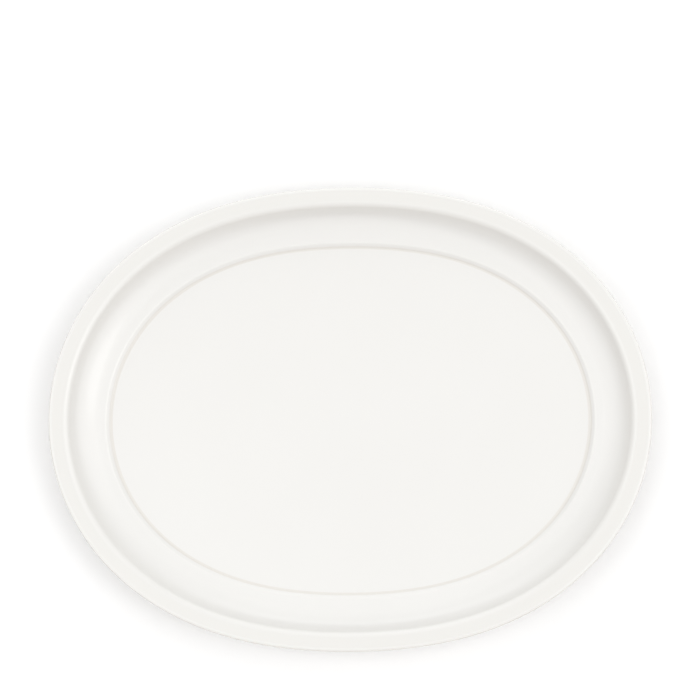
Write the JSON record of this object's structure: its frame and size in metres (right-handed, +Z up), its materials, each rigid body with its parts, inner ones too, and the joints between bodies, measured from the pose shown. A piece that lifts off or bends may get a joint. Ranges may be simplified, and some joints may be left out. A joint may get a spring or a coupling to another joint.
{
  "type": "serving platter",
  "caption": "Oval white china serving platter: raised flat rim band, coved wall, sloping shoulder, small step down to a flat well, and a foot ring underneath.",
  "frame": {"origin": "centre of the oval on the plane that the foot ring rests on", "axes": "+X along the oval's long axis, +Y along its short axis, +Z up, out of the well"},
  "size_m": [0.3798, 0.2934, 0.025],
  "materials": {
    "bare_porcelain": "unglazed, fine matt",
    "white_glaze": "gloss"
  },
  "bodies": {
    "root": {"porcelain_body": "bare_porcelain", "glaze_coat_face": "white_glaze", "glaze_coat_base": "white_glaze"}
  },
  "joints": []
}
